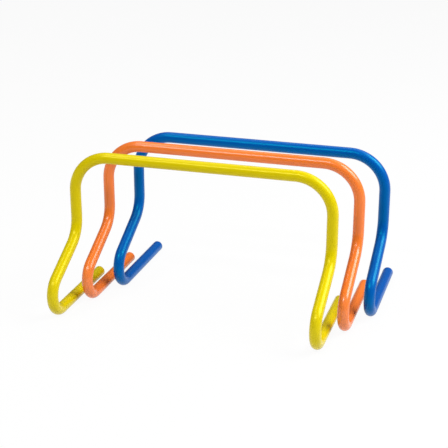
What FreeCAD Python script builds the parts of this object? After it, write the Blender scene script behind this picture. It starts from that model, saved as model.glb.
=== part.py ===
import FreeCAD, Part
import math
import os

from FreeCAD import Rotation, Vector

# A set of three speed hurdles, all alike and standing one behind another.
# A hurdle is one plastic tube, bent to an arch whose legs fold forward and then back along the floor.
# A push-in plug with a finned shank closes the tube at each heel.
# Millimetres and degrees, +Z up, -Y is the side where the toes are, and the floor is at Z = 0.

# Tube
tube_diameter = 21.3
tube_wall = 2.0

# Straight runs and bends of one hurdle, measured along the middle of the tube
bar_straight = 362.0
corner_radius = 70.5
leg_straight = 53.1
knee_radius = 53.0
shin_straight = 88.0
shin_slope = 28.2
toe_radius = 35.5
foot_straight = 187.0

# Head of an end plug, which sits on the tube's end
head_chamfer = 0.3
head_rim = 0.8
head_edge_radius = 1.8
head_crown = 0.4

# Shank of an end plug, hollow, with barbed fins that grip the bore
bore_clearance = 0.1
fin_count = 4
fin_depth = 1.2
fin_pitch = 3.0
fin_root = 1.6
fin_land = 0.5
shank_neck = 1.5
shank_lead = 2.0
shank_wall = 1.6

# How far the other hurdles stand to the right of the yellow one and behind it
orange_sidestep = 32.0
orange_setback = 89.5
blue_sidestep = 66.5
blue_setback = 166.0

# Sizes that follow from those above
tube_radius = tube_diameter / 2
bore_radius = tube_radius - tube_wall
slope_sine = math.sin(math.radians(shin_slope))
slope_cosine = math.cos(math.radians(shin_slope))
leg_offset = bar_straight / 2 + corner_radius
toe_y = toe_radius * slope_sine - shin_straight * slope_cosine - knee_radius * (1 - slope_sine)
heel_y = toe_y + foot_straight
head_height = head_rim + head_edge_radius + head_crown

# Directions along the tube
forward = Vector(0, -1, 0)
backward = Vector(0, 1, 0)
up = Vector(0, 0, 1)
down = Vector(0, 0, -1)
right = Vector(1, 0, 0)
up_the_shin = Vector(0, slope_cosine, slope_sine)
down_the_shin = Vector(0, -slope_cosine, -slope_sine)


def bent_path(start, direction, first_run, bends):
    """Centre line from a straight run, then for each bend a tangent arc and the run after it."""
    place = start + direction * first_run
    edges = [Part.LineSegment(start, place).toShape()]
    for radius, turned, run in bends:
        inward = (turned - direction * direction.dot(turned)).normalize()
        arm = inward * -radius
        centre = place - arm
        axis = direction.cross(turned)
        turn = math.degrees(direction.getAngle(turned))
        arc_middle = centre + Rotation(axis, turn / 2).multVec(arm)
        arc_end = centre + Rotation(axis, turn).multVec(arm)
        edges.append(Part.Arc(place, arc_middle, arc_end).toShape())
        place = arc_end + turned * run
        edges.append(Part.LineSegment(arc_end, place).toShape())
        direction = turned
    return Part.Wire(edges)


def make_tube():
    """One hurdle's tube, from the left heel over the bar to the right heel."""
    left_heel = Vector(-leg_offset, heel_y, tube_radius)
    bends = [
        (toe_radius, up_the_shin, shin_straight),
        (knee_radius, up, leg_straight),
        (corner_radius, right, bar_straight),
        (corner_radius, down, leg_straight),
        (knee_radius, down_the_shin, shin_straight),
        (toe_radius, backward, foot_straight),
    ]
    path = bent_path(left_heel, forward, foot_straight, bends)
    skins = []
    for radius in (tube_radius, bore_radius):
        ring = Part.Wire(Part.makeCircle(radius, left_heel, forward))
        skins.append(path.makePipeShell([ring], True, False))
    tube = skins[0].cut(skins[1]).Solids[0]
    ring_area = math.pi * (tube_radius ** 2 - bore_radius ** 2)
    print("tube length", round(path.Length, 1), "volume against section times length",
          round(tube.Volume / (ring_area * path.Length), 6))
    return tube


def plug_outline():
    """Half section of a plug: radius along X, height above the tube's end along Y."""
    core_radius = bore_radius - fin_depth
    fin_radius = bore_radius - bore_clearance
    pocket_radius = core_radius - shank_wall
    shank_end = -(shank_neck + fin_count * fin_pitch + shank_lead)
    flat_radius = tube_radius - head_edge_radius
    edge_top = head_rim + head_edge_radius
    crown_sphere = (flat_radius ** 2 + head_crown ** 2) / (2 * head_crown)
    crown_middle_drop = crown_sphere - math.sqrt(crown_sphere ** 2 - (flat_radius / 2) ** 2)
    edge_middle_reach = head_edge_radius * math.sqrt(0.5)

    rim_top = Vector(tube_radius, head_rim)
    edge_middle = Vector(flat_radius + edge_middle_reach, head_rim + edge_middle_reach)
    edge_end = Vector(flat_radius, edge_top)
    crown_middle = Vector(flat_radius / 2, head_height - crown_middle_drop)
    crown_top = Vector(0, head_height)

    # Down the middle, into the open pocket, round its end and up over the fins to the rim
    corners = [crown_top, Vector(0, 0), Vector(pocket_radius, 0), Vector(pocket_radius, shank_end)]
    corners.append(Vector(core_radius, shank_end))
    for fin in reversed(range(fin_count)):
        shoulder = -(shank_neck + fin * fin_pitch)
        corners.append(Vector(core_radius, shoulder - fin_root))
        corners.append(Vector(fin_radius, shoulder - fin_land))
        corners.append(Vector(fin_radius, shoulder))
        corners.append(Vector(core_radius, shoulder))
    corners += [Vector(core_radius, 0), Vector(tube_radius - head_chamfer, 0)]
    corners += [Vector(tube_radius, head_chamfer), rim_top]

    edges = [Part.LineSegment(a, b).toShape() for a, b in zip(corners, corners[1:])]
    edges.append(Part.Arc(rim_top, edge_middle, edge_end).toShape())
    edges.append(Part.Arc(edge_end, crown_middle, crown_top).toShape())
    return Part.Wire(edges)


def make_plug():
    """An end plug that points backward, with the tube's end at its origin."""
    return Part.Face(plug_outline()).revolve(Vector(0, 0, 0), backward, 360)


def save(solid, place, name):
    """Write one sub-part where it stands."""
    placed = solid.translated(place)
    print(name, placed.ShapeType, placed.isValid(), round(placed.Volume, 1))
    placed.exportStep(os.path.join("parts", name + ".step"))


def main():
    os.makedirs("parts", exist_ok=True)
    tube = make_tube()
    plug = make_plug()

    # The origin is on the floor under the middle of the whole set
    front_y = toe_y - toe_radius - tube_radius
    back_y = heel_y + head_height + blue_setback
    middle = Vector(blue_sidestep / 2, (front_y + back_y) / 2, 0)

    stands = {
        "yellow": Vector(0, 0, 0),
        "orange": Vector(orange_sidestep, orange_setback, 0),
        "blue": Vector(blue_sidestep, blue_setback, 0),
    }
    heels = {
        "left": Vector(-leg_offset, heel_y, tube_radius),
        "right": Vector(leg_offset, heel_y, tube_radius),
    }
    for colour, stand in stands.items():
        save(tube, stand - middle, colour + "_tube")
        for side, heel in heels.items():
            save(plug, stand - middle + heel, colour + "_" + side + "_plug")

    box = tube.optimalBoundingBox()
    print("one hurdle", round(box.XLength, 1), round(box.YLength + head_height, 1), round(box.ZLength, 1))
    print("set", round(box.XLength + blue_sidestep, 1), round(back_y - front_y, 1), round(box.ZLength, 1))


main()
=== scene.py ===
import math

import bmesh
import bpy
from mathutils import Matrix, Vector


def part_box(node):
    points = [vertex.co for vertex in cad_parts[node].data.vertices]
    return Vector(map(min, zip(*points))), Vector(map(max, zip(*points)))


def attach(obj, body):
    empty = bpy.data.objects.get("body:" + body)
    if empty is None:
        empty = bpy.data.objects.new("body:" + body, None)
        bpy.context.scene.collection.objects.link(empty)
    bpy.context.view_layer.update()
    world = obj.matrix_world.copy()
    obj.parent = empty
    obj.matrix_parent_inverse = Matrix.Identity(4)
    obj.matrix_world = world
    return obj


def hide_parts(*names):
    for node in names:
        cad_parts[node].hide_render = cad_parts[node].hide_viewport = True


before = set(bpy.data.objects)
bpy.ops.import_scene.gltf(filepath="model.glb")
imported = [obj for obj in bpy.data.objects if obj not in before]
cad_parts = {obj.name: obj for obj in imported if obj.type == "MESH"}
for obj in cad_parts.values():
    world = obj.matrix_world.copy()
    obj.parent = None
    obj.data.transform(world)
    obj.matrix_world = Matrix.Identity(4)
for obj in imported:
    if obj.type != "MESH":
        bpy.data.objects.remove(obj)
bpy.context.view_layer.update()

# A set of three speed hurdles, each one plastic tube bent to an arch on folded feet, with plugged ends.
mm = 0.001
colours = ("yellow", "orange", "blue")
sides = ("left", "right")

# The bent tube of every hurdle, measured along the middle of the tube
tube_radius = 10.65 * mm
tube_wall = 2 * mm
bar_straight = 362 * mm
corner_radius = 70.5 * mm
leg_straight = 53.1 * mm
knee_radius = 53 * mm
shin_straight = 88 * mm
shin_slope = math.radians(28.2)
toe_radius = 35.5 * mm
foot_straight = 187 * mm
sawn_edge = 0.35 * mm

# How finely the tube is divided round its ring, along its runs and bends and at its sawn edges
ring_points = 64
run_lead = 1 * mm
bend_step = math.radians(3.5)
sawn_edge_steps = 2
smooth_angle = math.radians(35)

# Surface of the tube: the size of each pattern, how fine it is and how much of it shows
die_line_width = 2.5 * mm
die_line_length = 160 * mm
die_line_depth = 0.002 * mm
die_line_detail = 2
die_line_gloss = 0.04
wave_width = 14 * mm
wave_depth = 0.004 * mm
wave_detail = 1
cloud_width = 45 * mm
cloud_detail = 3
clearest_cloud = 0.35
deepest_cloud = 0.75
least_stretch = 0.03
most_stretch = 0.3
most_paleness = 0.4
scuff_height = 1.2 * mm
scuff_width = 4 * mm
scuff_detail = 4
scuff_dulling = 0.3
pvc_ior = 1.53

# Surface of an end plug
grain_width = 0.9 * mm
grain_depth = 0.03 * mm
grain_detail = 2
grain_gloss = 0.1
plug_roughness = 0.42
polyethylene_ior = 1.51

# The values between which most of a noise pattern lies
noise_low = 0.3
noise_high = 0.7

# Colours: pigment, its deeper clouds, its paler stretched bends, then the gloss's tint and roughness
tube_colours = {
    "yellow": ("#D9C602", "#D5C000", "#E2D02C", "#FFF46C", 0.26),
    "orange": ("#F27D2D", "#EE7727", "#F6965E", "#FFFFFF", 0.24),
    "blue": ("#0253AB", "#024CA4", "#085EB6", "#00FFF8", 0.34),
}
plug_colours = {
    "yellow": ("#D9C604", "#D1BD02"),
    "orange": ("#F27D2D", "#EC7525"),
    "blue": ("#0251A4", "#02499A"),
}

# How far, in metres, the patterns of each colour are shifted, so that no two hurdles are marked alike
pattern_shift = {"yellow": 0.0, "orange": 0.5, "blue": 0.9}

# Camera: the point it looks at, the side it looks from and how far off it stands
image_pixels = 448
focal_pixels = 1134.4
sensor_width = 36
aim = Vector((-7.6 * mm, 2.8 * mm, 155.2 * mm))
camera_azimuth = math.radians(16.92)
camera_elevation = math.radians(20.66)
camera_distance = 2186.6 * mm

# Studio, in metres: a white floor in an evenly dim room, and a softbox above each of the four sides
floor_half = 60
floor_drop = 0.2 * mm
floor_glow_share = 0.94
paper_white = "#E1E1E1"
full_white = "#FFFFFF"
room_light = 0.125
softboxes = {
    "front": {"ends": ((-1.5, -1.75, 2.3), (0.3, -1.75, 2.3)), "width": 0.3, "watts": 38},
    "left": {"ends": ((-1.2, -0.8, 2.3), (-0.85, 0.6, 2.3)), "width": 0.4, "watts": 9},
    "right": {"ends": ((1.95, -0.6, 1.95), (1.75, 1.1, 1.95)), "width": 1.5, "watts": 72},
    "back": {"ends": ((-1.1, 1.9, 2.5), (1.5, 1.9, 2.5)), "width": 1.2, "watts": 18},
}


def linear(hex_colour):
    """sRGB hex to linear red, green, blue and alpha."""
    channels = [int(hex_colour[i:i + 2], 16) / 255 for i in (1, 3, 5)]
    return [c / 12.92 if c <= 0.04045 else ((c + 0.055) / 1.055) ** 2.4 for c in channels] + [1]


def add(tree, kind, inputs=None, **settings):
    """Adds one node, with its settings, and feeds its inputs with values or other nodes' outputs."""
    made = tree.nodes.new(kind)
    for key, value in settings.items():
        setattr(made, key, value)
    for socket, value in (inputs or {}).items():
        if isinstance(value, bpy.types.NodeSocket):
            tree.links.new(value, made.inputs[socket])
        else:
            made.inputs[socket].default_value = value
    return made


def new_material(name):
    """An empty material and its node tree."""
    material = bpy.data.materials.new(name)
    material.use_nodes = True
    material.node_tree.nodes.clear()
    return material, material.node_tree


def extruded_pvc(colour):
    """Extruded PVC tube, bent warm: clear gloss, lines along it, paler bends and a scuffed underside."""
    pigment, deep, stretched, gloss_tint, roughness = tube_colours[colour]
    shift = pattern_shift[colour]
    material, tree = new_material("extruded_pvc_" + colour)
    unbent = add(tree, "ShaderNodeAttribute", attribute_name="unbent").outputs["Vector"]
    shifted = add(tree, "ShaderNodeVectorMath", {0: unbent, 1: (shift, shift, shift)}).outputs["Vector"]

    # The die leaves lines that run along the tube, drawn wider than the real ones so that they show
    drawn_out = add(tree, "ShaderNodeMapping", {
        "Vector": shifted, "Scale": (1, 1, die_line_width / die_line_length)}).outputs["Vector"]
    lines = add(tree, "ShaderNodeTexNoise", {
        "Vector": drawn_out, "Scale": 1 / die_line_width, "Detail": die_line_detail}).outputs["Fac"]

    # Uneven cooling leaves the wall slightly wavy, which breaks up the reflections
    waves = add(tree, "ShaderNodeTexNoise", {
        "Vector": shifted, "Scale": 1 / wave_width, "Detail": wave_detail}).outputs["Fac"]

    # Pigment is a little cloudy along the tube
    clouds = add(tree, "ShaderNodeTexNoise", {
        "Vector": drawn_out, "Scale": 1 / cloud_width, "Detail": cloud_detail}).outputs["Fac"]
    shade = add(tree, "ShaderNodeMapRange", {
        "Value": clouds, "From Min": clearest_cloud, "From Max": deepest_cloud}).outputs["Result"]
    tinted = add(tree, "ShaderNodeMixRGB", {
        "Fac": shade, "Color1": linear(pigment), "Color2": linear(deep)}).outputs["Color"]

    # The outside of a bend is stretched thin and turns paler
    stretch = add(tree, "ShaderNodeAttribute", attribute_name="stretch").outputs["Fac"]
    paleness = add(tree, "ShaderNodeMapRange", {
        "Value": stretch, "From Min": least_stretch, "From Max": most_stretch,
        "To Max": most_paleness}).outputs["Result"]
    bent = add(tree, "ShaderNodeMixRGB", {
        "Fac": paleness, "Color1": tinted, "Color2": linear(stretched)}).outputs["Color"]

    # Floors rub the underside dull and pale
    place = add(tree, "ShaderNodeTexCoord").outputs["Object"]
    height = add(tree, "ShaderNodeSeparateXYZ", {"Vector": place}).outputs["Z"]
    rubbed = add(tree, "ShaderNodeMapRange", {
        "Value": height, "From Min": 0, "From Max": scuff_height,
        "To Min": 1, "To Max": 0}).outputs["Result"]
    specks = add(tree, "ShaderNodeTexNoise", {
        "Vector": shifted, "Scale": 1 / scuff_width, "Detail": scuff_detail}).outputs["Fac"]
    scuffs = add(tree, "ShaderNodeMath", {0: rubbed, 1: specks}, operation="MULTIPLY").outputs["Value"]
    worn = add(tree, "ShaderNodeMixRGB", {
        "Fac": scuffs, "Color1": bent, "Color2": linear(stretched)}).outputs["Color"]

    # The lines vary the gloss a little, and the scuffs take it away
    line_gloss = add(tree, "ShaderNodeMapRange", {
        "Value": lines, "From Min": noise_low, "From Max": noise_high,
        "To Min": roughness * (1 - die_line_gloss),
        "To Max": roughness * (1 + die_line_gloss)}).outputs["Result"]
    gloss = add(tree, "ShaderNodeMath", {
        0: scuffs, 1: scuff_dulling, 2: line_gloss}, operation="MULTIPLY_ADD").outputs["Value"]
    wavy = add(tree, "ShaderNodeBump", {
        "Height": waves, "Strength": 1, "Distance": wave_depth}).outputs["Normal"]
    relief = add(tree, "ShaderNodeBump", {
        "Height": lines, "Strength": 1, "Distance": die_line_depth, "Normal": wavy}).outputs["Normal"]
    shader = add(tree, "ShaderNodeBsdfPrincipled", {
        "Base Color": worn, "Roughness": gloss, "IOR": pvc_ior,
        "Specular Tint": linear(gloss_tint), "Normal": relief}).outputs["BSDF"]
    add(tree, "ShaderNodeOutputMaterial", {"Surface": shader})
    return material


def moulded_polyethylene(colour):
    """Moulded polyethylene plug: waxy, duller than the tube, with the fine grain of a spark-cut mould."""
    pigment, deep = plug_colours[colour]
    shift = pattern_shift[colour]
    material, tree = new_material("moulded_polyethylene_" + colour)
    place = add(tree, "ShaderNodeTexCoord").outputs["Object"]
    shifted = add(tree, "ShaderNodeVectorMath", {0: place, 1: (shift, shift, shift)}).outputs["Vector"]

    # The real grain is too fine to show, so it is drawn about four times as coarse
    grain = add(tree, "ShaderNodeTexNoise", {
        "Vector": shifted, "Scale": 1 / grain_width, "Detail": grain_detail}).outputs["Fac"]
    tinted = add(tree, "ShaderNodeMixRGB", {
        "Fac": grain, "Color1": linear(deep), "Color2": linear(pigment)}).outputs["Color"]
    gloss = add(tree, "ShaderNodeMapRange", {
        "Value": grain, "From Min": noise_low, "From Max": noise_high,
        "To Min": plug_roughness * (1 - grain_gloss),
        "To Max": plug_roughness * (1 + grain_gloss)}).outputs["Result"]
    relief = add(tree, "ShaderNodeBump", {
        "Height": grain, "Strength": 1, "Distance": grain_depth}).outputs["Normal"]
    shader = add(tree, "ShaderNodeBsdfPrincipled", {
        "Base Color": tinted, "Roughness": gloss, "IOR": polyethylene_ior,
        "Normal": relief}).outputs["BSDF"]
    add(tree, "ShaderNodeOutputMaterial", {"Surface": shader})
    return material


def deselect_all():
    """Nothing selected, so that the next operator acts only on what is made or picked next."""
    for thing in bpy.context.selected_objects:
        thing.select_set(False)


def mark_ring(mesh, along, middle, strain):
    """Notes on the selected ring where it lay on the straight tube and how far bending stretched it."""
    form = bmesh.from_edit_mesh(mesh)
    unbent = form.verts.layers.float_vector["unbent"]
    stretch = form.verts.layers.float["stretch"]
    for vert in form.verts:
        if vert.select:
            vert[unbent].z = along
            vert[stretch] = (vert.co - middle).dot(strain)


def push_ring(mesh, along, place, direction, run):
    """Pushes the selected ring along a straight run, with a ring near each end for straight shading."""
    no_strain = Vector((0, 0, 0))
    for part in (run_lead, run - 2 * run_lead, run_lead):
        bpy.ops.mesh.extrude_region_move(TRANSFORM_OT_translate={"value": direction * part})
        along += part
        place = place + direction * part
        mark_ring(mesh, along, place, no_strain)
    return along, place


def spin_ring(mesh, along, place, direction, turned, radius):
    """Spins the selected ring step by step round a bend, from one direction to the next."""
    turn = direction.angle(turned)
    axis = direction.cross(turned).normalized()
    arm = direction.cross(axis) * radius
    centre = place - arm
    steps = math.ceil(turn / bend_step)
    for step in range(1, steps + 1):
        bpy.ops.mesh.spin(steps=1, angle=-turn / steps, center=centre, axis=axis)
        along += radius * turn / steps
        turned_arm = Matrix.Rotation(turn * step / steps, 3, axis) @ arm
        strain = turned_arm * math.sin(math.pi * step / steps) / radius ** 2
        place = centre + turned_arm
        mark_ring(mesh, along, place, strain)
    return along, place


def bent_tube(heel):
    """A ring pushed along the straight runs and spun round the bends, from the left heel to the right."""
    forward = Vector((0, -1, 0))
    up_the_shin = Vector((0, math.cos(shin_slope), math.sin(shin_slope)))
    up = Vector((0, 0, 1))
    right = Vector((1, 0, 0))
    bends = [
        (toe_radius, up_the_shin, shin_straight),
        (knee_radius, up, leg_straight),
        (corner_radius, right, bar_straight),
        (corner_radius, -up, leg_straight),
        (knee_radius, -up_the_shin, shin_straight),
        (toe_radius, -forward, foot_straight),
    ]

    # The first ring stands upright at the left heel
    deselect_all()
    bpy.ops.mesh.primitive_circle_add(vertices=ring_points, radius=tube_radius, location=heel,
                                      rotation=(math.pi / 2, 0, 0))
    tube = bpy.context.object
    bpy.ops.object.transform_apply(location=True, rotation=True, scale=True)
    bpy.ops.object.mode_set(mode="EDIT")
    bpy.ops.mesh.select_all(action="SELECT")
    form = bmesh.from_edit_mesh(tube.data)
    form.verts.layers.float.new("stretch")
    unbent = form.verts.layers.float_vector.new("unbent")
    for vert in form.verts:
        vert[unbent] = (vert.co.x - heel.x, vert.co.z - heel.z, 0)

    # Runs and bends
    along, place = push_ring(tube.data, 0, heel, forward, foot_straight)
    direction = forward
    for radius, turned, run in bends:
        along, place = spin_ring(tube.data, along, place, direction, turned, radius)
        along, place = push_ring(tube.data, along, place, turned, run)
        direction = turned
    bpy.ops.mesh.select_all(action="SELECT")
    bpy.ops.mesh.normals_make_consistent(inside=False)
    bpy.ops.object.mode_set(mode="OBJECT")

    # The wall, inward from the outside, and the softened edges of the sawn ends
    wall = tube.modifiers.new("wall", "SOLIDIFY")
    wall.thickness = tube_wall
    wall.offset = -1
    bpy.ops.object.modifier_apply(modifier=wall.name)
    edge = tube.modifiers.new("sawn edge", "BEVEL")
    edge.width = sawn_edge
    edge.segments = sawn_edge_steps
    edge.angle_limit = smooth_angle
    bpy.ops.object.modifier_apply(modifier=edge.name)
    bpy.ops.object.shade_smooth_by_angle(angle=smooth_angle)
    return tube


def copy_of(piece, step):
    """A copy with its own mesh, moved by that step and left with its object at the origin."""
    twin = piece.copy()
    twin.data = piece.data.copy()
    bpy.context.collection.objects.link(twin)
    deselect_all()
    twin.select_set(True)
    bpy.context.view_layer.objects.active = twin
    twin.location = step
    bpy.ops.object.transform_apply(location=True, rotation=True, scale=True)
    return twin


def heel_of(colour):
    """Middle of the tube's sawn end at the left heel of that hurdle."""
    low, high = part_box(colour + "_tube")
    return Vector((low.x + tube_radius, high.y, low.z + tube_radius))


def seen_by_camera(tree):
    """1 for what the camera sees straight, mirrored or through something clear, and 0 for other light."""
    rays = add(tree, "ShaderNodeLightPath").outputs
    mirrored = add(tree, "ShaderNodeMath", {
        0: rays["Is Camera Ray"], 1: rays["Is Glossy Ray"]}, operation="MAXIMUM").outputs["Value"]
    return add(tree, "ShaderNodeMath", {
        0: mirrored, 1: rays["Is Transmission Ray"]}, operation="MAXIMUM").outputs["Value"]


# Camera
toward = Vector((math.sin(camera_azimuth) * math.cos(camera_elevation),
                 -math.cos(camera_azimuth) * math.cos(camera_elevation),
                 math.sin(camera_elevation)))
bpy.ops.object.camera_add(location=aim + toward * camera_distance)
camera = bpy.context.object
camera.rotation_euler = toward.to_track_quat("Z", "Y").to_euler()
camera.data.sensor_width = sensor_width
camera.data.lens = sensor_width * focal_pixels / image_pixels
bpy.context.scene.camera = camera
bpy.context.scene.view_settings.view_transform = "Standard"

# Tubes, modelled once and copied
first_heel = heel_of(colours[0])
tubes = {colours[0]: bent_tube(first_heel)}
for colour in colours[1:]:
    tubes[colour] = copy_of(tubes[colours[0]], heel_of(colour) - first_heel)

# Each tube's name, finish and body, and the finish of its plugs, whose shape stays as it is
for colour, tube in tubes.items():
    tube.name = colour + "_bent_tube"
    tube.data.materials.append(extruded_pvc(colour))
    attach(tube, colour + "_hurdle")
    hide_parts(colour + "_tube")
    plug_finish = moulded_polyethylene(colour)
    for side in sides:
        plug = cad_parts[colour + "_" + side + "_plug"]
        plug.data.materials.clear()
        plug.data.materials.append(plug_finish)

# Floor: white paper that stays white to the camera and keeps a soft shadow
deselect_all()
bpy.ops.mesh.primitive_plane_add(size=2 * floor_half, location=(0, 0, -floor_drop))
floor = bpy.context.object
floor.name = "studio_floor"
material, tree = new_material("white_paper_sweep")
shown = add(tree, "ShaderNodeMath", {
    0: seen_by_camera(tree), 1: floor_glow_share}, operation="MULTIPLY").outputs["Value"]
paper = add(tree, "ShaderNodeBsdfDiffuse", {"Color": linear(paper_white)}).outputs["BSDF"]
glow = add(tree, "ShaderNodeEmission", {"Color": linear(full_white), "Strength": 1}).outputs["Emission"]
sweep = add(tree, "ShaderNodeMixShader", {"Fac": shown, 1: paper, 2: glow}).outputs["Shader"]
add(tree, "ShaderNodeOutputMaterial", {"Surface": sweep})
floor.data.materials.append(material)

# World: the same dim light from all sides
world = bpy.data.worlds.new("dim_studio")
bpy.context.scene.world = world
world.use_nodes = True
tree = world.node_tree
tree.nodes.clear()
room = add(tree, "ShaderNodeBackground", {"Color": linear(full_white), "Strength": room_light})
add(tree, "ShaderNodeOutputWorld", {"Surface": room.outputs["Background"]})

# Softboxes: each a strip between two points that faces the hurdles
for side, box in softboxes.items():
    start, end = (Vector(point) for point in box["ends"])
    middle = (start + end) / 2
    lengthwise = (end - start).normalized()
    away = (middle - lengthwise * lengthwise.dot(middle)).normalized()
    facing = Matrix((lengthwise, away.cross(lengthwise), away)).transposed()
    bpy.ops.object.light_add(type="AREA", location=middle, rotation=facing.to_euler())
    lamp = bpy.context.object
    lamp.name = "softbox_" + side
    lamp.data.shape = "RECTANGLE"
    lamp.data.size = (end - start).length
    lamp.data.size_y = box["width"]
    lamp.data.energy = box["watts"]
